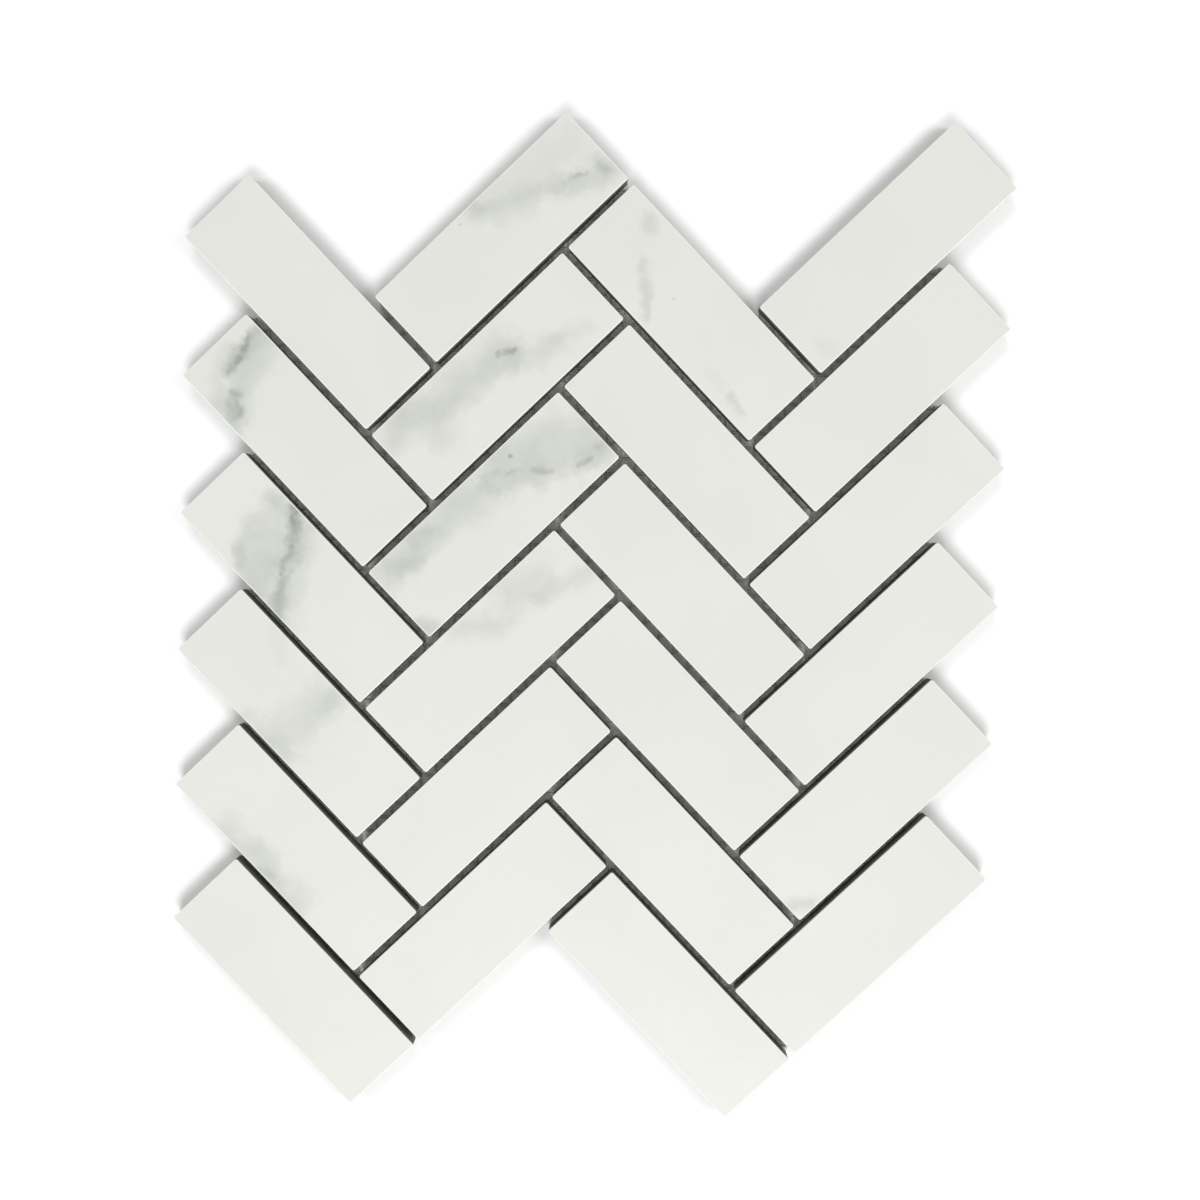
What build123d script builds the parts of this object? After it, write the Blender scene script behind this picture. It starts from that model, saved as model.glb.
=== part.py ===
from build123d import *
from math import atan2, degrees, floor, sqrt
import os

# Herringbone mosaic sheet, in millimetres.
# Porcelain chips lie face up in slanting columns, bonded to a glass-fibre mesh that holds them
# together for laying. Every joint is open and takes grout once the sheet is on the wall or floor.
# The sheet lies flat: +Z leaves the face, +Y runs up the columns, and the origin is under its middle.

# Chips: small rectangular tiles, pressed and fired, with eased corners and a fine arris round the face
chip_length = 88.0
chip_width = 30.0
chip_thickness = 6.0
chip_corner_radius = 0.8
chip_arris = 0.35

# Laying pattern
joint_width = 2.5
columns = 4
rows = 6

# Backing mesh: two layers of flat threads, laid square to the sheet and trimmed to its stepped edge
mesh_pitch = 5.0
thread_width = 0.8
thread_thickness = 0.25
mesh_setback = 1.5

# Neighbouring columns are square to each other and mirror each other, so each leans half a right angle.
lean = degrees(atan2(1, 1))
column_step = (chip_length + joint_width) / sqrt(2)
row_step = (chip_width + joint_width) * sqrt(2)
# The end of a chip butts against the side of its neighbour, which puts alternate columns half a row apart.
stagger = row_step / 2

# Overall reach from the middle of the sheet to its outermost chip corners, before they are eased
chip_reach = (chip_length + chip_width) / (2 * sqrt(2))
sheet_half_width = (columns - 1) * column_step / 2 + chip_reach
sheet_half_length = ((rows - 1) * row_step + stagger) / 2 + chip_reach

# The two thread layers lie one on the other, and the chips are bonded to the upper one.
chip_bed = 2 * thread_thickness


def chip_places():
    """Name and place of each chip on the sheet: columns from the left, rows from the top."""
    places = {}
    for column in range(columns):
        leans_right = column % 2 == 1
        turn = lean if leans_right else -lean
        shift = stagger / 2 if leans_right else -stagger / 2
        x = (column - (columns - 1) / 2) * column_step
        for row in range(rows):
            y = ((rows - 1) / 2 - row) * row_step + shift
            places[f"chip_{chr(ord('a') + column)}{row + 1}"] = Location((x, y, 0), (0, 0, turn))
    return places


def threads_each_side(half_reach):
    """Threads that fit on each side of the middle one, none nearer a mesh tip than half a pitch."""
    mesh_half_reach = half_reach - mesh_setback * sqrt(2)
    return floor((mesh_half_reach - mesh_pitch / 2) / mesh_pitch)


os.makedirs("parts", exist_ok=True)
places = chip_places()

# Chips: a rounded rectangle, pressed to its thickness, with the sharp edge of the face taken off
for name, place in places.items():
    with BuildPart() as chip:
        with BuildSketch(Plane(place).offset(chip_bed)):
            RectangleRounded(chip_length, chip_width, chip_corner_radius)
        extrude(amount=chip_thickness)
        chamfer(chip.edges().group_by(Axis.Z)[-1], length=chip_arris)
    chip.part.label = name
    export_step(chip.part, f"parts/{name}.step")

# Trim line of the mesh: the chips with their half joints fill the sheet without gaps, and the mesh
# stops short of their outer edges, so that the next sheet's chips fit into the steps.
with BuildSketch() as mesh_outline:
    with Locations(*places.values()):
        Rectangle(chip_length + joint_width, chip_width + joint_width)
    offset(amount=-(joint_width / 2 + mesh_setback), kind=Kind.INTERSECTION)

# Warp threads run up the sheet in the lower layer.
warp_count = 2 * threads_each_side(sheet_half_width) + 1
with BuildPart() as warp_threads:
    with BuildSketch():
        with GridLocations(mesh_pitch, 0, warp_count, 1):
            Rectangle(thread_width, 2 * sheet_half_length)
        add(mesh_outline.sketch, mode=Mode.INTERSECT)
    extrude(amount=thread_thickness)
warp_threads.part.label = "warp_threads"
export_step(warp_threads.part, "parts/warp_threads.step")

# Weft threads run across the sheet on top of the warp, against the backs of the chips.
weft_count = 2 * threads_each_side(sheet_half_length) + 1
with BuildPart() as weft_threads:
    with BuildSketch(Plane.XY.offset(thread_thickness)):
        with GridLocations(0, mesh_pitch, 1, weft_count):
            Rectangle(2 * sheet_half_width, thread_width)
        add(mesh_outline.sketch, mode=Mode.INTERSECT)
    extrude(amount=thread_thickness)
weft_threads.part.label = "weft_threads"
export_step(weft_threads.part, "parts/weft_threads.step")
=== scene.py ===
# %% [markdown]
# A herringbone mosaic sheet
#
# The object is a sheet of small porcelain chips, laid in herringbone and bonded to a net of glass yarn.
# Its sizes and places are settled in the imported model, so this lesson only dresses it: it gives the
# chips their pressed shape and their marble print, weaves the net, and then sets up floor, light and
# camera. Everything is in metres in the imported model's own frame: +Z leaves the face, +Y runs up the
# sheet.

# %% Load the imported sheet
import math

import bmesh
import bpy
from mathutils import Matrix, Vector


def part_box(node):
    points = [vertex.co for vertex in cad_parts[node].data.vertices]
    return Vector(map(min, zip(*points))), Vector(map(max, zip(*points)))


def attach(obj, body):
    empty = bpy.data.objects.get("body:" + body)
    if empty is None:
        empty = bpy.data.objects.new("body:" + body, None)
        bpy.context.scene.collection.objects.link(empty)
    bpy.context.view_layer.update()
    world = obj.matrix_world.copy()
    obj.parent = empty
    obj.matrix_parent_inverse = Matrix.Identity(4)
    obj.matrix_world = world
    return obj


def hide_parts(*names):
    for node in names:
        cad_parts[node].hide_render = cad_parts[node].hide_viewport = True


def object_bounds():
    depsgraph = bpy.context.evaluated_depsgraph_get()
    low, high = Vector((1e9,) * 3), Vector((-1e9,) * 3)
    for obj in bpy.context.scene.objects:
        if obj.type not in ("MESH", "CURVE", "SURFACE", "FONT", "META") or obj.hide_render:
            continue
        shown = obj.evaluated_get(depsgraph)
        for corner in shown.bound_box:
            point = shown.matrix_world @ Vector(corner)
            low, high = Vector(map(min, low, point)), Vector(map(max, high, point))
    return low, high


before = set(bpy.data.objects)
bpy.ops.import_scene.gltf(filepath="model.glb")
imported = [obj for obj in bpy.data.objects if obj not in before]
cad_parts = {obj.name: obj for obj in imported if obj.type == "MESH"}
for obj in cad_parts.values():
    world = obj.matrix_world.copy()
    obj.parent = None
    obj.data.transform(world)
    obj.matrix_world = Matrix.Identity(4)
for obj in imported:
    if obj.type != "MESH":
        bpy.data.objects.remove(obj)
cad_low, cad_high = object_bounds()
MM = 0.001
chip_nodes = sorted(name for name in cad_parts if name.startswith("chip_"))
print("packed sheet", [round(side / MM, 2) for side in cad_high - cad_low], "mm")
print(len(chip_nodes), "chips")

# %% [markdown]
# Camera
#
# The photograph looks almost straight down from a short arm's length, a little above the middle of the
# sheet. An eye point, a point to aim at and a small roll say that plainly. A track-to constraint would
# do the same, but it is unsteady when the camera looks straight down, so the three axes are worked out
# here instead.

# %% Place the camera
EYE = Vector((11.4, 23.8, 408.4)) * MM
AIM = Vector((4.6, 7.2, 6.5)) * MM
ROLL = math.radians(-1.78)
LENS_MM = 36.0
SENSOR_MM = 36.0
NEAREST_SEEN = 10.0 * MM

ahead = (AIM - EYE).normalized()
right = ahead.cross(Vector((math.sin(ROLL), math.cos(ROLL), 0))).normalized()
up = right.cross(ahead)
camera_data = bpy.data.cameras.new("camera")
camera_data.lens = LENS_MM
camera_data.sensor_width = SENSOR_MM
camera_data.clip_start = NEAREST_SEEN
camera = bpy.data.objects.new("camera", camera_data)
camera.matrix_world = Matrix.Translation(EYE) @ Matrix((right, up, -ahead)).transposed().to_4x4()
bpy.context.scene.collection.objects.link(camera)
bpy.context.scene.camera = camera
print("camera", round((EYE - AIM).length / MM), "mm from the face")

# %% [markdown]
# Single nodes
#
# Every finish below is a small graph of shader nodes. It could be built by clicking in the shader
# editor. A helper that adds a node, sets its plain values and links its inputs keeps the same graph
# readable as text: an input is either a value or the output socket of another node. Inputs go by name,
# as the editor shows them. Math nodes repeat one name for all their inputs, so there they go by place.


# %% Single nodes
def add_node(tree, kind, settings=None, **inputs):
    """Add a node; settings are its own properties, inputs go by name, or by place as i0, i1 and i2."""
    node = tree.nodes.new(kind)
    for name, value in (settings or {}).items():
        setattr(node, name, value)
    for name, value in inputs.items():
        goes_by_place = name[0] == "i" and name[1:].isdigit()
        socket = node.inputs[int(name[1:]) if goes_by_place else name.replace("_", " ")]
        if isinstance(value, bpy.types.NodeSocket):
            tree.links.new(value, socket)
        else:
            socket.default_value = value
    return node


def numbered(values):
    """Values as inputs by place, in the form that add_node takes."""
    return {f"i{place}": value for place, value in enumerate(values)}


def maths(tree, operation, *values):
    """One Math node on up to three values or sockets."""
    return add_node(tree, "ShaderNodeMath", {"operation": operation}, **numbered(values)).outputs[0]


def vector_maths(tree, operation, *values):
    """One Vector Math node on up to three vectors or sockets, which puts out a Vector and a Value."""
    return add_node(tree, "ShaderNodeVectorMath", {"operation": operation}, **numbered(values)).outputs


print("single nodes: add_node, maths and vector_maths")

# %% [markdown]
# Noise, ranges and mixes
#
# Print, fired clay and yarn are all a little uneven, and a noise texture is the plain way to show that.
# Its values keep near a half, so a Map Range node stretches only the middle of them: the narrower the
# span, the stronger the contrast. A colour ramp could do this too, but a range of numbers is easier to
# read and to tune. A Mix node then blends two colours by the result.

# %% Noise, ranges and mixes
WIDE_SPAN = (0.30, 0.70)
VEIN_SPAN = (0.33, 0.67)
MIDDLE_SPAN = (0.35, 0.65)
WASH_SPAN = (0.38, 0.62)
# A Mix node holds the sockets of every kind of data, and the colour ones have these places.
MIX_FACTOR, MIX_FIRST, MIX_SECOND, MIX_RESULT = 0, 6, 7, 2


def noise(tree, position, per_metre, detail=2.0, roughness=0.5):
    """Values of a noise texture with that many features in a metre."""
    return add_node(tree, "ShaderNodeTexNoise", Vector=position, Scale=per_metre, Detail=detail,
                    Roughness=roughness).outputs["Fac"]


def remap(tree, value, span, low, high, smooth=False):
    """Stretch a span of values to run from low to high, held at both ends."""
    kind = "SMOOTHSTEP" if smooth else "LINEAR"
    return add_node(tree, "ShaderNodeMapRange", {"interpolation_type": kind}, Value=value,
                    From_Min=span[0], From_Max=span[1], To_Min=low, To_Max=high).outputs["Result"]


def blend_colours(tree, factor, first, second):
    """Mix two colours or colour sockets."""
    node = add_node(tree, "ShaderNodeMix", {"data_type": "RGBA"})
    for place, value in ((MIX_FACTOR, factor), (MIX_FIRST, first), (MIX_SECOND, second)):
        if isinstance(value, bpy.types.NodeSocket):
            tree.links.new(value, node.inputs[place])
        else:
            node.inputs[place].default_value = value if place == MIX_FACTOR else (*value, 1.0)
    return node.outputs[MIX_RESULT]


print("spans of noise, from wide to narrow:", WIDE_SPAN, VEIN_SPAN, MIDDLE_SPAN, WASH_SPAN)

# %% [markdown]
# Groups and materials
#
# A finish that several materials share is a node group: it is built once and placed in each of them.
# Copies of its nodes would look the same, but a change would have to be made in every copy. A group
# here takes a place and gives colours, masks or heights, while the Principled shader stays in the
# material. Places come from Object coordinates, so a pattern keeps its size in metres on every piece.


# %% Groups and materials
def new_group(name, inputs, outputs):
    """An empty node group; sockets are given as name to kind."""
    tree = bpy.data.node_groups.new(name, "ShaderNodeTree")
    for in_out, sockets in (("INPUT", inputs), ("OUTPUT", outputs)):
        for socket, kind in sockets.items():
            tree.interface.new_socket(socket, in_out=in_out, socket_type="NodeSocket" + kind)
    return tree, tree.nodes.new("NodeGroupInput").outputs, tree.nodes.new("NodeGroupOutput").inputs


def use_group(tree, group, **inputs):
    """Place a node group and return its outputs."""
    return add_node(tree, "ShaderNodeGroup", {"node_tree": group}, **inputs).outputs


def new_material(name, **constants):
    """A material with its Principled shader's plain values set, and its object coordinates."""
    material = bpy.data.materials.new(name)
    material.use_nodes = True
    tree = material.node_tree
    shader = tree.nodes["Principled BSDF"]
    for socket, value in constants.items():
        shader.inputs[socket.replace("_", " ")].default_value = value
    position = tree.nodes.new("ShaderNodeTexCoord").outputs["Object"]
    return material, tree, shader, position


def link_finish(tree, shader, colour, roughness, height, depth):
    """Link a finish to its shader, with a bump of that depth."""
    bump = add_node(tree, "ShaderNodeBump", Height=height, Distance=depth)
    tree.links.new(colour, shader.inputs["Base Color"])
    tree.links.new(roughness, shader.inputs["Roughness"])
    tree.links.new(bump.outputs["Normal"], shader.inputs["Normal"])


# A finish varies in these three ways.
FINISH_SOCKETS = {"Color": "Color", "Roughness": "Float", "Height": "Float"}
print("a finish gives", ", ".join(FINISH_SOCKETS))

# %% [markdown]
# Porcelain ground
#
# The face of a chip is a matt print on white porcelain. It is never one flat colour: broad clouds of
# slightly cooler and warmer white, a faint fine mottle from the printing, and a very fine tooth that
# scatters the light. An image could carry all that, but three noises do it at any distance and leave no
# seam between chips. All chips share it, so it is one group that gives colour, roughness and height.

# %% Ground of the face
WARM_WHITE = (0.668, 0.675, 0.627)
COOL_WHITE = (0.646, 0.657, 0.615)
CLOUDS_PER_METRE = 22.0
MOTTLE_PER_METRE = 420.0
TOOTH_PER_METRE = 2600.0
MOTTLE_TINT = 0.18
MOTTLE_HEIGHT = 0.6
TOOTH_HEIGHT = 0.4
FACE_ROUGHNESS = (0.46, 0.54)

ground_group, ground_in, ground_out = new_group(
    "porcelain_ground", {"Position": "Vector"}, FINISH_SOCKETS)
clouds = noise(ground_group, ground_in["Position"], CLOUDS_PER_METRE, detail=3.0)
mottle = noise(ground_group, ground_in["Position"], MOTTLE_PER_METRE, detail=3.0)
tooth = noise(ground_group, ground_in["Position"], TOOTH_PER_METRE, detail=1.0)
cloudy = remap(ground_group, clouds, MIDDLE_SPAN, 0.0, 1.0, smooth=True)
mottled = remap(ground_group, mottle, WIDE_SPAN, -MOTTLE_TINT, MOTTLE_TINT)
cool_share = maths(ground_group, "ADD", mottled, cloudy)
ground_colour = blend_colours(ground_group, cool_share, WARM_WHITE, COOL_WHITE)
ground_roughness = remap(ground_group, mottle, WIDE_SPAN, *FACE_ROUGHNESS)
fine_height = maths(ground_group, "MULTIPLY", tooth, TOOTH_HEIGHT)
ground_height = maths(ground_group, "MULTIPLY_ADD", mottle, MOTTLE_HEIGHT, fine_height)
ground_group.links.new(ground_colour, ground_out["Color"])
ground_group.links.new(ground_roughness, ground_out["Roughness"])
ground_group.links.new(ground_height, ground_out["Height"])
print("ground group", len(ground_group.nodes), "nodes")

# %% [markdown]
# Marble veins
#
# The print imitates a white marble: soft grey-green bands that run across a chip, with darker flecks in
# them. Each chip is cut from another place of the print, so a band stops dead at the chip's edge. A
# wave or noise texture would give veins in arbitrary places. Here each vein is drawn instead, as a few
# strokes from point to point on the chip, and a noise bends the strokes and breaks them up, so that
# they look grown and not ruled. The first group bends a place, slowly and then finely, and gives three
# patchy factors: one for the width of a stroke, and one for the strength of either ink.

# %% Bend the veins
WANDER_MM = 2.4
WANDER_PER_METRE = 95.0
QUIVER_MM = 0.8
QUIVER_PER_METRE = 380.0
NOISE_MIDDLE = (0.5, 0.5, 0.5)
# Features in a metre, and the least and the largest factor
PATCHES = {"Swell": (110.0, 0.60, 1.40), "Flecks": (320.0, 0.65, 1.55), "Washes": (90.0, 0.90, 1.40)}

wander_group, wander_in, wander_out = new_group(
    "vein_wander", {"Position": "Vector"}, {"Position": "Vector", **dict.fromkeys(PATCHES, "Float")})
bent = wander_in["Position"]
for per_metre, reach in ((WANDER_PER_METRE, WANDER_MM), (QUIVER_PER_METRE, QUIVER_MM)):
    swirl = add_node(wander_group, "ShaderNodeTexNoise", Vector=wander_in["Position"], Scale=per_metre)
    centred = vector_maths(wander_group, "SUBTRACT", swirl.outputs["Color"], NOISE_MIDDLE)["Vector"]
    widest = (2 * reach * MM,) * 3
    bent = vector_maths(wander_group, "MULTIPLY_ADD", centred, widest, bent)["Vector"]
wander_group.links.new(bent, wander_out["Position"])
for name, (per_metre, least, most) in PATCHES.items():
    patchy = noise(wander_group, wander_in["Position"], per_metre, detail=4.0, roughness=0.6)
    wander_group.links.new(remap(wander_group, patchy, VEIN_SPAN, least, most), wander_out[name])
print("vein_wander gives", ", ".join(socket.name for socket in wander_out if socket.name))

# %% [markdown]
# One stroke of a vein
#
# A stroke is all that lies near a straight line between two points, and fades with the distance from
# it. It could be painted on an image, but then the chip would need a UV map. Here the foot of the
# shortest way is found by the dot product, clamped so that it stays between the ends, just as one would
# do it on paper. So a stroke has round ends, and strokes that share a point join smoothly.

# %% One stroke of a vein
stroke_group, stroke_in, stroke_out = new_group(
    "vein_stroke",
    {"Position": "Vector", "Swell": "Float", "Start": "Vector", "End": "Vector", "Radius": "Float"},
    {"Mask": "Float"})
from_start = vector_maths(stroke_group, "SUBTRACT", stroke_in["Position"], stroke_in["Start"])["Vector"]
run = vector_maths(stroke_group, "SUBTRACT", stroke_in["End"], stroke_in["Start"])["Vector"]
along = vector_maths(stroke_group, "DOT_PRODUCT", from_start, run)["Value"]
squared = vector_maths(stroke_group, "DOT_PRODUCT", run, run)["Value"]
clamped_division = {"operation": "DIVIDE", "use_clamp": True}
share = add_node(stroke_group, "ShaderNodeMath", clamped_division, i0=along, i1=squared).outputs[0]
foot = add_node(stroke_group, "ShaderNodeVectorMath", {"operation": "SCALE"}, i0=run, Scale=share)
away = vector_maths(stroke_group, "DISTANCE", from_start, foot.outputs["Vector"])["Value"]
edge = maths(stroke_group, "MULTIPLY", stroke_in["Radius"], stroke_in["Swell"])
stroke_mask = remap(stroke_group, away, (0.0, edge), 1.0, 0.0, smooth=True)
stroke_group.links.new(stroke_mask, stroke_out["Mask"])
print("vein_stroke", len(stroke_group.nodes), "nodes")

# %% [markdown]
# Where the veins run
#
# A vein is a strength, a radius and its points, in millimetres along and across the chip from the
# middle of its face. Bands have a large radius and a small strength, flecks the opposite. One point
# alone makes a spot. An image of the print would be quicker to put on, but strokes written down as a
# list can be read, moved and drawn anew.

# %% Vein routes
VEINS = {
    "chip_a2": [
        (0.25, 9.5, [(-34, 15), (-32, 3), (-27, -6), (-19, -15)]),
        (0.27, 5.0, [(-37, 14), (-36, 5)]),
        (0.24, 4.0, [(-36, 5), (-34, -3)]),
        (0.28, 4.0, [(-28, -7), (-22, -11)]),
        (0.38, 2.2, [(-38, 11), (-36.5, 6.5)]),
        (0.40, 1.9, [(-35.5, 3), (-34, -2.5)]),
        (0.12, 6.0, [(-39, 2), (-35, -7), (-28, -13)]),
        (0.22, 1.5, [(-30, -7), (-26, -6)]),
        (0.20, 1.5, [(-25, -8), (-21, -10)]),
        (0.15, 2.0, [(-26, -11), (-22, -13)]),
    ],
    "chip_a3": [
        (0.21, 12.0, [(-20, 11), (-17, 0), (-13, -12)]),
        (0.10, 5.0, [(-26, 10), (-25, 0), (-20, -10)]),
        (0.10, 4.0, [(-26, 12), (-20, 12)]),
        (0.13, 8.0, [(-12, 3), (-8, -12)]),
        (0.14, 5.5, [(-9, -2), (-3, -14)]),
        (0.12, 3.6, [(-22, -10), (-18, -12)]),
        (0.18, 8.5, [(-11, 12), (-4, 0), (5, -14)]),
        (0.30, 4.2, [(-15, 10), (-9, 3), (-6.5, -4), (-1, -10), (4, -15)]),
        (0.30, 2.2, [(-10, 4), (-8, -2), (-6, -5)]),
        (0.42, 3.6, [(-19, 15), (-16, 11), (-15, 10)]),
        (0.50, 2.4, [(-18.5, 14.5), (-16, 11)]),
        (0.22, 3.2, [(-5.5, -3.5), (-3, -7)]),
    ],
    "chip_a4": [
        (0.18, 12.5, [(4, 15), (2, 0), (1, -15)]),
        (0.07, 5.0, [(5, 12), (5, 6)]),
        (0.15, 5.5, [(-11, -13), (8, -14)]),
        (0.06, 5.0, [(-24, 14), (-17, 9)]),
    ],
    "chip_a5": [
        (0.18, 9.5, [(-20, -14), (-4, -12), (14, -15)]),
        (0.05, 12.0, [(-16, -15), (14, -15)]),
        (0.20, 3.0, [(-4, -14), (2, -13)]),
        (0.60, 1.2, [(4, -12.5)]),
    ],
    "chip_b1": [
        (0.10, 14.0, [(8, 12), (38, 6)]),
        (0.15, 7.0, [(0, 12), (6, 8), (16, 4), (28, -2), (41, -7)]),
        (0.12, 6.0, [(30, -5), (41, -10)]),
        (0.10, 3.0, [(0, 14), (3, 10)]),
        (0.08, 2.2, [(24, -1), (30, -2)]),
        (0.28, 1.8, [(30.5, -2.5), (34.5, -3.5)]),
        (0.30, 2.8, [(40, -4), (41, -8)]),
        (0.34, 1.2, [(-6, 12)]),
    ],
    "chip_b2": [
        (0.15, 12.5, [(-42, 10), (-25, 8), (-5, 8), (6, 6)]),
        (0.13, 8.5, [(-36, 13), (-24, 7), (-23, 0), (-26, -3)]),
        (0.13, 8.5, [(-12, 5), (0, 4), (10, 2)]),
        (0.15, 7.5, [(11, 0), (15, -4), (22, -5)]),
        (0.10, 3.6, [(22, -4), (27, -4), (34, -9)]),
        (0.38, 1.6, [(5, 4.6), (8, 3.8), (10.5, 3)]),
    ],
    "chip_b3": [
        (0.20, 12.0, [(-40, 11), (-24, 11), (-8, 11), (1, 9)]),
        (0.23, 16.0, [(16, 11), (27, 4), (40, -3)]),
        (0.13, 7.0, [(6, 8), (16, 4), (24, -3), (32, -8), (42, -11)]),
        (0.22, 7.0, [(-36, 10), (-30, 7)]),
        (0.24, 4.2, [(-25, 13), (-19, 11)]),
        (0.08, 3.6, [(10, 14), (13, 7)]),
        (0.15, 2.0, [(13, 7), (16, 6)]),
        (0.26, 1.9, [(21, 2), (24, -2)]),
        (0.28, 2.0, [(32, -8), (37, -8.5)]),
        (0.18, 2.2, [(41, -7), (43, -9)]),
        (0.95, 1.4, [(17.7, 9.7)]),
        (0.30, 6.0, [(-45, -9), (-41, -14)]),
    ],
    "chip_b4": [
        (0.16, 6.5, [(-2, 13), (3, 9), (8, 4)]),
        (0.16, 12.0, [(19, 9), (28, 7)]),
        (0.13, 5.5, [(24, 2), (34, -1), (44, -3)]),
    ],
    "chip_c1": [
        (0.17, 4.4, [(-32, 11), (-30, 10)]),
        (0.15, 3.6, [(-23, 0), (-21, -2)]),
        (0.20, 3.0, [(-17, -4), (-13, -8), (-9, -11.5)]),
        (0.22, 3.0, [(29.5, -9.5), (34.5, -10.5)]),
        (0.06, 4.5, [(20, -9), (24, -9)]),
        (0.20, 1.0, [(-7.5, -1.5)]),
    ],
    "chip_d1": [
        (0.06, 4.0, [(-38, -8), (-35, -12)]),
    ],
    "chip_d5": [
        (0.24, 5.0, [(-45, -9), (-37, -13)]),
    ],
}
print(sum(len(veins) for veins in VEINS.values()), "veins on", len(VEINS), "chips")

# %% [markdown]
# Inks
#
# The veins are printed in two inks: a cool grey-green for the soft bands, then a darker neutral grey
# for the flecks. Within a vein the strongest stroke counts, so that strokes meet without a bead, and
# one vein builds on another as layers of ink do. The points are given on the chip, so each is first
# moved to the chip's place on the sheet: then the material can use the sheet's own coordinates, which
# are the same for all chips.

# %% Print the veins
BAND_INK = (0.185, 0.232, 0.196)
FLECK_INK = (0.168, 0.172, 0.152)
FLECK_RADIUS = 2.5
CHIP_LEAN = math.radians(45)
# A spot is a stroke of hardly any length.
SPOT_LENGTH = 0.1 * MM


def chip_place(node):
    """Centre of a chip on the sheet and its turn: columns a and c lean left, b and d lean right."""
    low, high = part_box(node)
    column = node[len("chip_")]
    return (low + high) / 2, CHIP_LEAN if column in "bd" else -CHIP_LEAN


def ink_mask(tree, veins, onto_sheet, wander, patches):
    """Combined mask of the veins of one ink."""
    total = 0.0
    for strength, radius, points in veins:
        places = [onto_sheet @ Vector((x * MM, y * MM, 0)) for x, y in points]
        if len(places) == 1:
            places.append(places[0] + Vector((SPOT_LENGTH, 0, 0)))
        vein = 0.0
        for start, end in zip(places, places[1:]):
            mask = use_group(tree, stroke_group, Position=wander["Position"], Swell=wander["Swell"],
                             Start=start, End=end, Radius=radius * MM)["Mask"]
            vein = maths(tree, "MAXIMUM", vein, mask)
        inked = maths(tree, "MULTIPLY", maths(tree, "MULTIPLY", vein, strength), patches)
        total = maths(tree, "MULTIPLY_ADD", inked, maths(tree, "SUBTRACT", 1.0, total), total)
    return total


def print_veins(tree, node, position, colour):
    """Lay the two inks of a chip's veins over its ground."""
    centre, turn = chip_place(node)
    onto_sheet = Matrix.Translation((centre.x, centre.y, cad_high.z)) @ Matrix.Rotation(turn, 4, "Z")
    wander = use_group(tree, wander_group, Position=position)
    bands = [vein for vein in VEINS[node] if vein[1] > FLECK_RADIUS]
    flecks = [vein for vein in VEINS[node] if vein[1] <= FLECK_RADIUS]
    for veins, ink, patches in ((bands, BAND_INK, "Washes"), (flecks, FLECK_INK, "Flecks")):
        if veins:
            mask = ink_mask(tree, veins, onto_sheet, wander, wander[patches])
            colour = blend_colours(tree, mask, colour, ink)
    return colour


all_radii = [radius for veins in VEINS.values() for strength, radius, points in veins]
print(sum(radius <= FLECK_RADIUS for radius in all_radii), "of the veins are flecks")

# %% [markdown]
# Face materials
#
# A plain chip needs only the ground, so all plain chips share one material. A veined chip has one of
# its own, because its strokes are its own. The arris round the face takes no print, and its white is a
# little brighter than the face as a painted highlight along the edge, so it is one plain material for
# all.

# %% Face of a chip
TOOTH_DEPTH = 0.012 * MM
# Painted highlight: the arris white is a little brighter than the face.
ARRIS_HIGHLIGHT_WHITE = (0.770, 0.775, 0.730, 1.0)
ARRIS_ROUGHNESS = 0.4


def face_material(node):
    """Printed face of a chip; the chips without veins share one."""
    name = f"face_{node}" if node in VEINS else "face_plain"
    if name in bpy.data.materials:
        return bpy.data.materials[name]
    material, tree, shader, position = new_material(name)
    ground = use_group(tree, ground_group, Position=position)
    colour = ground["Color"]
    if node in VEINS:
        colour = print_veins(tree, node, position, colour)
    link_finish(tree, shader, colour, ground["Roughness"], ground["Height"], TOOTH_DEPTH)
    return material


arris_highlight_material = new_material(
    "porcelain_arris_highlight", Base_Color=ARRIS_HIGHLIGHT_WHITE, Roughness=ARRIS_ROUGHNESS)[0]
face_materials = {node: face_material(node) for node in chip_nodes}
print(len(set(face_materials.values())), "face materials for", len(chip_nodes), "chips")

# %% [markdown]
# Porcelain body
#
# The sides show the pressed porcelain body, greyer than the print and drier: fine grains of darker
# clay, and faint level lines left by the press. Its grey is kept dark, partly as painted shade on the
# walls of the narrow joints. The back is the same body, so this is a group again.
# A wave texture would rule the lines too evenly. They are a noise on a place that a Mapping node
# squeezes in height, which draws each of its blots out into a streak.

# %% Body group
# Painted shade in part: both body greys are kept dark so that the joint walls read as shaded.
BODY_GREY_AND_SHADE = (0.150, 0.154, 0.132)
BODY_DARK_AND_SHADE = (0.115, 0.118, 0.101)
LINES_PER_METRE = (110.0, 110.0, 1500.0)
GRAINS_PER_METRE = 1900.0
LINE_TINT = 0.30
GRAIN_TINT = 0.70
BODY_ROUGHNESS = (0.62, 0.82)

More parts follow.
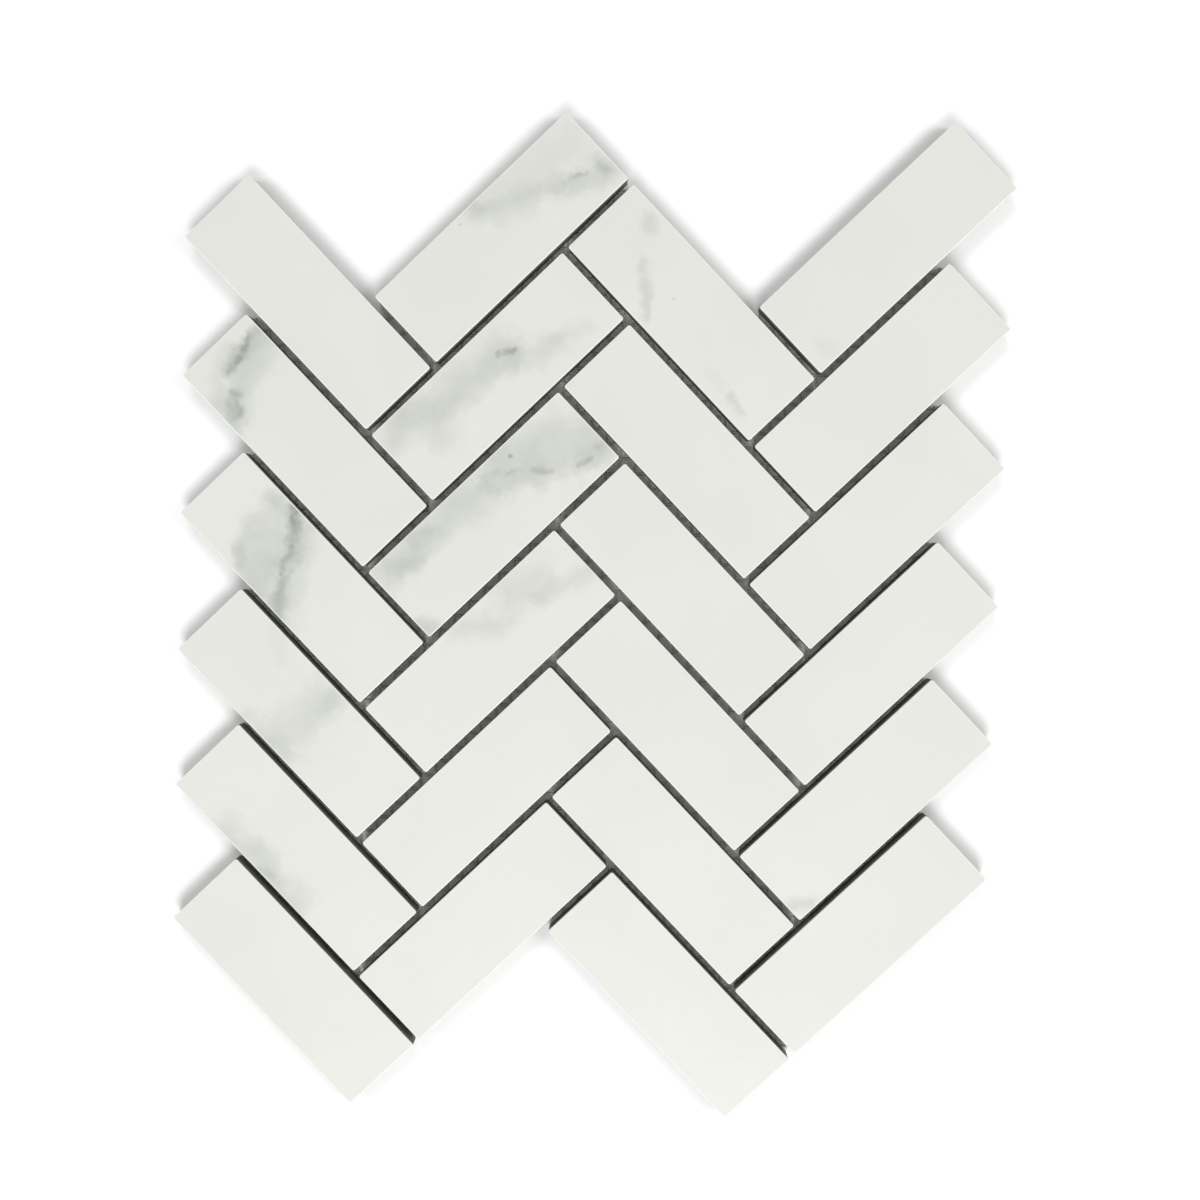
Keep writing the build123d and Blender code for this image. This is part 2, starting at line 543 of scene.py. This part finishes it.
body_group, body_in, body_out = new_group("porcelain_body", {"Position": "Vector"}, FINISH_SOCKETS)
squeezed = add_node(body_group, "ShaderNodeMapping", Vector=body_in["Position"], Scale=LINES_PER_METRE)
lines = noise(body_group, squeezed.outputs["Vector"], 1.0, detail=3.0)
grain = noise(body_group, body_in["Position"], GRAINS_PER_METRE, detail=3.0, roughness=0.6)
faint_lines = remap(body_group, lines, MIDDLE_SPAN, 0.0, LINE_TINT)
clay = maths(body_group, "ADD", remap(body_group, grain, MIDDLE_SPAN, 0.0, GRAIN_TINT), faint_lines)
body_and_shade_colour = blend_colours(body_group, clay, BODY_GREY_AND_SHADE, BODY_DARK_AND_SHADE)
body_roughness = remap(body_group, grain, WIDE_SPAN, *BODY_ROUGHNESS)
body_height = maths(body_group, "ADD", grain, faint_lines)
body_group.links.new(body_and_shade_colour, body_out["Color"])
body_group.links.new(body_roughness, body_out["Roughness"])
body_group.links.new(body_height, body_out["Height"])
print("body group", len(body_group.nodes), "nodes")

# %% [markdown]
# Sides and back
#
# The back has a thin dusting of white kiln wash, which keeps the chips from sticking in the kiln. The
# glue that holds the net has crept along its yarns, and there the back is a more even grey and shines.
# The yarns lie on a square grid, so a ping-pong of the place gives the distance to the nearest one, with
# no need for a texture of the net.

# %% Sides and back of a chip
BODY_DEPTH = 0.03 * MM
WASH_WHITE = (0.470, 0.472, 0.430)
WASH_PER_METRE = 160.0
WASH_COVER = (0.1, 0.9)
MESH_PITCH = 5.0 * MM
GLUE_PER_METRE = 420.0
GLUE_NEAR = 0.35 * MM
GLUE_REACH = (0.60 * MM, 1.60 * MM)
GLUE_FILM = (0.300, 0.302, 0.262)
GLUE_TINT = 0.6
GLUE_SHINE = 0.7
GLUE_ROUGHNESS = 0.15


def glue_mask(tree, position):
    """How much glue lies on the back, by the distance to the nearest yarn of the net."""
    axes = add_node(tree, "ShaderNodeSeparateXYZ", Vector=position).outputs
    to_warp = maths(tree, "PINGPONG", axes["X"], MESH_PITCH / 2)
    to_weft = maths(tree, "PINGPONG", axes["Y"], MESH_PITCH / 2)
    nearest = maths(tree, "MINIMUM", to_warp, to_weft)
    creep = noise(tree, position, GLUE_PER_METRE, detail=3.0)
    spread = remap(tree, creep, MIDDLE_SPAN, *GLUE_REACH)
    return remap(tree, nearest, (GLUE_NEAR, spread), 1.0, 0.0, smooth=True)


def body_material(name, is_back):
    """Bare porcelain body, with kiln wash and glue on the back."""
    material, tree, shader, position = new_material(name, Coat_Roughness=GLUE_ROUGHNESS)
    body = use_group(tree, body_group, Position=position)
    colour = body["Color"]
    if is_back:
        wash = noise(tree, position, WASH_PER_METRE, detail=5.0, roughness=0.6)
        colour = blend_colours(tree, remap(tree, wash, WASH_SPAN, *WASH_COVER), colour, WASH_WHITE)
        glue = glue_mask(tree, position)
        colour = blend_colours(tree, maths(tree, "MULTIPLY", glue, GLUE_TINT), colour, GLUE_FILM)
        tree.links.new(maths(tree, "MULTIPLY", glue, GLUE_SHINE), shader.inputs["Coat Weight"])
    link_finish(tree, shader, colour, body["Roughness"], body["Height"], BODY_DEPTH)
    return material


side_material = body_material("porcelain_side", is_back=False)
back_material = body_material("porcelain_back", is_back=True)
print("materials:", side_material.name, "and", back_material.name)

# %% [markdown]
# Chip block
#
# A chip is a block with eased corners, a soft arris round the face and a slight ease round the back. It
# could be an outline drawn point by point and raised. A block made by create_cube, with its upright
# edges bevelled first and its face and back edges after them, gives the same with no list of points.

# %% Chip block
CHIP_LENGTH = 88.0 * MM
CHIP_WIDTH = 30.0 * MM
CORNER_RADIUS = 0.8 * MM
CORNER_SEGMENTS = 4
ARRIS = 0.42 * MM
ARRIS_SEGMENTS = 3
BACK_EASE = 0.2 * MM
BACK_SEGMENTS = 1
SAME_LEVEL = 1e-7


def bevel(bm, edges, size, segments):
    """Round some edges, with the settings that the editor's bevel starts from."""
    bmesh.ops.bevel(bm, geom=list(edges), offset=size, offset_type="OFFSET", segments=segments,
                    profile=0.5, affect="EDGES", material=-1)


def level_edges(bm, level):
    """Edges that lie wholly at one height."""
    return [e for e in bm.edges if all(abs(v.co.z - level) < SAME_LEVEL for v in e.verts)]


def chip_block(low, high):
    """A chip without its keyed back, lying along X over the origin, from one height to another."""
    bm = bmesh.new()
    bmesh.ops.create_cube(bm, size=1.0)
    bmesh.ops.scale(bm, verts=bm.verts, vec=(CHIP_LENGTH, CHIP_WIDTH, high - low))
    bmesh.ops.translate(bm, verts=bm.verts, vec=(0, 0, (low + high) / 2))
    upright = [e for e in bm.edges if e.verts[0].co.xy == e.verts[1].co.xy]
    bevel(bm, upright, CORNER_RADIUS, CORNER_SEGMENTS)
    bevel(bm, level_edges(bm, high), ARRIS, ARRIS_SEGMENTS)
    bevel(bm, level_edges(bm, low), BACK_EASE, BACK_SEGMENTS)
    bm.normal_update()
    return bm


print("chip", round(CHIP_LENGTH / MM), "by", round(CHIP_WIDTH / MM), "mm")

# %% [markdown]
# Keyed back
#
# The press leaves shallow grooves in the back, which give the adhesive a hold. The back is cut by
# planes into strips inside a plain border, and every second strip is extruded by itself and moved in.
# An inset would make the border too, but it turns the small arcs of the corners inside out, because it
# is wider than they are.

# %% Key the back
KEY_BORDER = 2.5 * MM
KEY_STRIPS = 9
KEY_DEPTH = 0.35 * MM
CUT_TOLERANCE = 1e-8
# A face is level when its normal stands upright to this share.
LEVEL_NORMAL = 0.99


def cut_faces(bm, faces, point, normal):
    """Cut some faces by a plane, and return all that they become."""
    verts = dict.fromkeys(v for f in faces for v in f.verts)
    edges = dict.fromkeys(e for f in faces for e in f.edges)
    cut = bmesh.ops.bisect_plane(bm, geom=[*verts, *edges, *faces], dist=CUT_TOLERANCE, plane_co=point,
                                 plane_no=normal)
    return [g for g in cut["geom"] if isinstance(g, bmesh.types.BMFace)]


def key_back(bm, low):
    """Press shallow strips into the back, inside a plain border."""
    faces = [f for f in bm.faces if f.normal.z < -LEVEL_NORMAL]
    for end in (-1, 1):
        faces = cut_faces(bm, faces, (end * (CHIP_LENGTH / 2 - KEY_BORDER), 0, low), (1, 0, 0))
    strips = [min(faces, key=lambda f: abs(f.calc_center_median().x))]
    reach = CHIP_WIDTH / 2 - KEY_BORDER
    for index in range(KEY_STRIPS + 1):
        across = -reach + 2 * reach * index / KEY_STRIPS
        strips = cut_faces(bm, strips, (0, across, low), (0, 1, 0))
    strips.sort(key=lambda f: f.calc_center_median().y)
    # The first strip and the last are the border.
    pressed = bmesh.ops.extrude_discrete_faces(bm, faces=strips[2:-1:2])["faces"]
    for face in pressed:
        bmesh.ops.translate(bm, verts=face.verts, vec=(0, 0, KEY_DEPTH))
    bm.normal_update()
    return len(pressed)


trial = chip_block(0.0, cad_high.z)
print(key_back(trial, 0.0), "grooves", KEY_DEPTH / MM, "mm deep")
trial.free()

# %% [markdown]
# Chips in their places
#
# Each chip is built lying straight, painted by the height and the slope of its faces, and then turned
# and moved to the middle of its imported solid. One mesh could be placed over and over instead, but its
# Object coordinates would be the same each time, and so would the clouds and grains on all the chips.
# Flat and round faces meet on a chip, so a Weighted Normal modifier keeps the flat ones flat, and the
# steep edges of the grooves are marked sharp.

# %% Make the chips
FACE_SLOT, ARRIS_SLOT, SIDE_SLOT, BACK_SLOT = range(4)
SHARP_ANGLE = math.radians(60)
# The normal of an upright face leaves the level by less than this.
UPRIGHT_NORMAL = 0.1


def chip_slot(face, low, high):
    """Which material a face of a chip has."""
    middle = face.calc_center_median().z
    if face.normal.z > LEVEL_NORMAL:
        return FACE_SLOT
    if middle > high - ARRIS:
        return ARRIS_SLOT
    in_groove = middle < low + KEY_DEPTH + BACK_EASE and abs(face.normal.z) > UPRIGHT_NORMAL
    return BACK_SLOT if in_groove or middle < low + BACK_EASE else SIDE_SLOT


def make_chip(node):
    """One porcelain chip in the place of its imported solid."""
    low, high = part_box(node)
    centre, turn = chip_place(node)
    bm = chip_block(low.z, high.z)
    key_back(bm, low.z)
    for face in bm.faces:
        face.material_index = chip_slot(face, low.z, high.z)
        face.smooth = True
    for edge in bm.edges:
        edge.smooth = edge.calc_face_angle() < SHARP_ANGLE
    bmesh.ops.rotate(bm, verts=bm.verts, cent=(0, 0, 0), matrix=Matrix.Rotation(turn, 3, "Z"))
    bmesh.ops.translate(bm, verts=bm.verts, vec=(centre.x, centre.y, 0))
    mesh = bpy.data.meshes.new(f"porcelain_{node}")
    bm.to_mesh(mesh)
    bm.free()
    for material in (face_materials[node], arris_highlight_material, side_material, back_material):
        mesh.materials.append(material)
    piece = bpy.data.objects.new(f"porcelain_{node}", mesh)
    bpy.context.scene.collection.objects.link(piece)
    piece.modifiers.new("even_shading", "WEIGHTED_NORMAL").keep_sharp = True
    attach(piece, "root")
    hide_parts(node)
    return piece


chips = [make_chip(node) for node in chip_nodes]
print(len(chips), "chips,", sum(len(chip.data.polygons) for chip in chips), "faces")

# %% [markdown]
# Yarn
#
# The net is woven of glass yarn under a thin coat. Its fibres are far too fine to model, so a very fine
# noise shades them and gives them a little relief, and a broad one makes some stretches a bit darker
# than others.

# %% Yarn material
YARN_WHITE = (0.760, 0.780, 0.670)
YARN_SHADE = (0.650, 0.665, 0.575)
FIBRES_PER_METRE = 5200.0
FIBRE_TINT = 0.5
FIBRE_DEPTH = 0.03 * MM
SOIL_PER_METRE = 120.0
SOIL_SHARE = (0.6, 1.4)
YARN_ROUGHNESS = (0.45, 0.65)
COAT_WEIGHT = 0.15
COAT_ROUGHNESS = 0.3

yarn, yarn_tree, yarn_shader, yarn_position = new_material(
    "glass_yarn", Coat_Weight=COAT_WEIGHT, Coat_Roughness=COAT_ROUGHNESS)
fibres = noise(yarn_tree, yarn_position, FIBRES_PER_METRE)
soil = noise(yarn_tree, yarn_position, SOIL_PER_METRE, detail=3.0)
fibre_shade = remap(yarn_tree, fibres, WIDE_SPAN, 0.0, FIBRE_TINT)
soiled = maths(yarn_tree, "MULTIPLY", fibre_shade, remap(yarn_tree, soil, WIDE_SPAN, *SOIL_SHARE))
yarn_colour = blend_colours(yarn_tree, soiled, YARN_WHITE, YARN_SHADE)
yarn_roughness = remap(yarn_tree, fibres, WIDE_SPAN, *YARN_ROUGHNESS)
link_finish(yarn_tree, yarn_shader, yarn_colour, yarn_roughness, fibres, FIBRE_DEPTH)
print("yarn material", len(yarn_tree.nodes), "nodes")

# %% [markdown]
# Runs of the net
#
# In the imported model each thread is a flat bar, trimmed to the stepped outline. Every yarn has to start
# and stop where its thread does, so the runs are read from there and not worked out again. A bar is an
# island in its layer's mesh: from any of its vertices the edges lead to all the others.

# %% Runs of the threads
THREAD_MERGE = 1e-6


def thread_runs(node):
    """Lowest and highest corner of every thread of a packed layer."""
    bm = bmesh.new()
    bm.from_mesh(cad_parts[node].data)
    bmesh.ops.remove_doubles(bm, verts=bm.verts, dist=THREAD_MERGE)
    runs = []
    left = set(bm.verts)
    while left:
        island = [left.pop()]
        for vert in island:
            linked = {edge.other_vert(vert) for edge in vert.link_edges} & left
            left -= linked
            island.extend(linked)
        lows = [min(vert.co[axis] for vert in island) for axis in range(3)]
        highs = [max(vert.co[axis] for vert in island) for axis in range(3)]
        runs.append((Vector(lows), Vector(highs)))
    bm.free()
    return sorted(runs, key=lambda run: tuple(run[0]))


weft_runs = thread_runs("weft_threads")
warp_runs = thread_runs("warp_threads")
print(len(weft_runs), "weft runs and", len(warp_runs), "warp runs")

# %% [markdown]
# A yarn from a rolled grid
#
# A curve with a bevel could make a yarn. Here each is a flat grid rolled into a tube, which stays light
# and lets every ring have its own place and width. The rings lie at the crossings of the net and midway
# between, so that is all the detail that a yarn has to have.

# %% Roll a yarn
YARN_SIDES = 6
RING_STEP = MESH_PITCH / 2
# A ring keeps at least this share of a step from the end of its yarn.
RING_GAP = 0.2


def ring_stops(start, end):
    """Where the rings of a yarn lie: at its ends, and at each crossing and midway between."""
    first = math.ceil(start / RING_STEP + RING_GAP)
    last = math.floor(end / RING_STEP - RING_GAP)
    return [start, *(index * RING_STEP for index in range(first, last + 1)), end]


def roll_yarn(bm, start, end, ring):
    """Roll a grid into a tube; ring gives a ring's centre and its half sizes, sideways and upward."""
    stops = ring_stops(start, end)
    lengths = len(stops) - 1
    # The flat grid runs from minus a half to a half both ways.
    made = bmesh.ops.create_grid(bm, x_segments=lengths, y_segments=YARN_SIDES, size=0.5)
    for vert in made["verts"]:
        stop = stops[round((vert.co.x + 0.5) * lengths)]
        around = 2 * math.pi * round((vert.co.y + 0.5) * YARN_SIDES) / YARN_SIDES
        centre, sideways, upward = ring(stop)
        vert.co = centre + sideways * math.cos(around) + upward * math.sin(around)


longest = max(weft_runs, key=lambda ends: ends[1].x - ends[0].x)
print("the longest weft has", len(ring_stops(longest[0].x, longest[1].x)), "rings")

# %% [markdown]
# Leno weave
#
# The net on the back is a leno weave: flat weft yarns across the sheet, and pairs of thinner warp yarns
# up it that twist half a turn from weft to weft and so grip them. A weft narrows where it is gripped.
# The yarns could be drawn for one opening of the net and repeated, but most of them end between two
# crossings. Both are waves of the place along the yarn, so a sine and a cosine give each ring its place.

# %% Rings of the two kinds of yarn
WEFT_WIDTH = 0.95 * MM
WEFT_GRIPPED = 0.75 * MM
WEFT_THICKNESS = 0.24 * MM
WARP_WIDTH = 0.45 * MM
WARP_THICKNESS = 0.20 * MM
TWIST_ACROSS = 0.22 * MM
TWIST_UP = 0.14 * MM
net_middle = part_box("weft_threads")[0].z


def weft_ring(across):
    """A weft lies flat in the middle of the net and is narrower where a warp pair grips it."""
    def ring(stop):
        gripped = math.cos(math.pi * stop / MESH_PITCH) ** 2
        width = WEFT_WIDTH + (WEFT_GRIPPED - WEFT_WIDTH) * gripped
        centre = Vector((stop, across, net_middle))
        return centre, Vector((0, width / 2, 0)), Vector((0, 0, WEFT_THICKNESS / 2))
    return ring


def warp_ring(across, phase):
    """The two yarns of a warp pair turn round each other, half a turn from weft to weft."""
    def ring(stop):
        turn = math.pi * stop / MESH_PITCH + phase
        aside = TWIST_ACROSS * math.sin(turn)
        lift = TWIST_UP * math.cos(turn)
        centre = Vector((across + aside, stop, net_middle + lift))
        return centre, Vector((WARP_WIDTH / 2, 0, 0)), Vector((0, 0, WARP_THICKNESS / 2))
    return ring


print("net", round(2 * (TWIST_UP + WARP_THICKNESS / 2) / MM, 2), "mm thick at the twist")

# %% [markdown]
# Weave the net
#
# All yarns of one direction are one piece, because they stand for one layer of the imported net. The seam
# of every rolled grid is merged and its two ends are filled, so that each yarn is a closed tube.

# %% Weave the net
YARN_MERGE = 1e-7


def finish_net(name, bm, node):
    """Close the tubes and make them the piece that stands for their packed layer."""
    bmesh.ops.remove_doubles(bm, verts=bm.verts, dist=YARN_MERGE)
    bmesh.ops.holes_fill(bm, edges=[edge for edge in bm.edges if edge.is_boundary], sides=YARN_SIDES)
    bmesh.ops.recalc_face_normals(bm, faces=bm.faces)
    for face in bm.faces:
        face.smooth = True
    mesh = bpy.data.meshes.new(name)
    bm.to_mesh(mesh)
    bm.free()
    mesh.materials.append(yarn)
    piece = bpy.data.objects.new(name, mesh)
    bpy.context.scene.collection.objects.link(piece)
    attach(piece, "root")
    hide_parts(node)
    print(name, sum(len(polygon.vertices) - 2 for polygon in mesh.polygons), "triangles")


wefts = bmesh.new()
for low, high in weft_runs:
    roll_yarn(wefts, low.x, high.x, weft_ring((low.y + high.y) / 2))
finish_net("net_weft_yarns", wefts, "weft_threads")
warps = bmesh.new()
for low, high in warp_runs:
    for phase in (0.0, math.pi):
        roll_yarn(warps, low.y, high.y, warp_ring((low.x + high.x) / 2, phase))
finish_net("net_warp_yarns", warps, "warp_threads")

# %% [markdown]
# Floor
#
# The sheet lies on a plain pale floor, which is only there for the picture. One large square is enough.
# A shadow catcher would show the shadows too, but it is meant for a render that is laid over another
# picture later. The floor is staged and does not ride on the sheet.

# %% Floor
FLOOR_SIDE = 4.0
FLOOR_WHITE = (0.96, 0.96, 0.96, 1.0)
FLOOR_ROUGHNESS = 0.9

floor_mesh = bpy.data.meshes.new("floor")
floor_square = bmesh.new()
bmesh.ops.create_grid(floor_square, x_segments=1, y_segments=1, size=FLOOR_SIDE / 2)
floor_square.to_mesh(floor_mesh)
floor_square.free()
floor_paint = new_material("pale_floor", Base_Color=FLOOR_WHITE, Roughness=FLOOR_ROUGHNESS)[0]
floor_mesh.materials.append(floor_paint)
floor = bpy.data.objects.new("floor", floor_mesh)
bpy.context.scene.collection.objects.link(floor)
print("floor", FLOOR_SIDE, "m square")

# %% [markdown]
# Light
#
# The light is soft and comes mostly from the viewer's side of the sheet, so the far edges have a short
# soft shadow and the near chips are a little brighter. Four large square lamps and an even white
# surrounding give that. An image of a studio could light it as well, but lamps can be weighed one by
# one. The joints are narrow and deep, so they fall into shade, and their dark grey walls add painted
# shade to it.

# %% Lights
# Place in metres, side in metres, power in watts
SOFTBOXES = {
    "near_softbox": ((0.10, -1.35, 1.40), 1.1, 25.0),
    "left_softbox": ((-1.50, 0.10, 1.10), 0.8, 7.2),
    "right_softbox": ((1.50, 0.10, 1.10), 0.8, 11.8),
    "far_softbox": ((-0.40, 1.50, 1.30), 0.8, 7.6),
}
SURROUND_WHITE = (1.0, 1.0, 1.0, 1.0)
SURROUND_STRENGTH = 0.36

for name, (place, side, watts) in SOFTBOXES.items():
    data = bpy.data.lights.new(name, "AREA")
    data.size = side
    data.energy = watts
    light = bpy.data.objects.new(name, data)
    light.location = place
    light.rotation_euler = (-Vector(place)).to_track_quat("-Z", "Y").to_euler()
    bpy.context.scene.collection.objects.link(light)
world = bpy.data.worlds.new("studio")
world.use_nodes = True
surround = world.node_tree.nodes["Background"].inputs
surround["Color"].default_value = SURROUND_WHITE
surround["Strength"].default_value = SURROUND_STRENGTH
bpy.context.scene.world = world
bpy.context.scene.view_settings.view_transform = "Standard"
all_watts = sum(watts for place, side, watts in SOFTBOXES.values())
print(len(SOFTBOXES), "softboxes,", round(all_watts, 1), "watts")
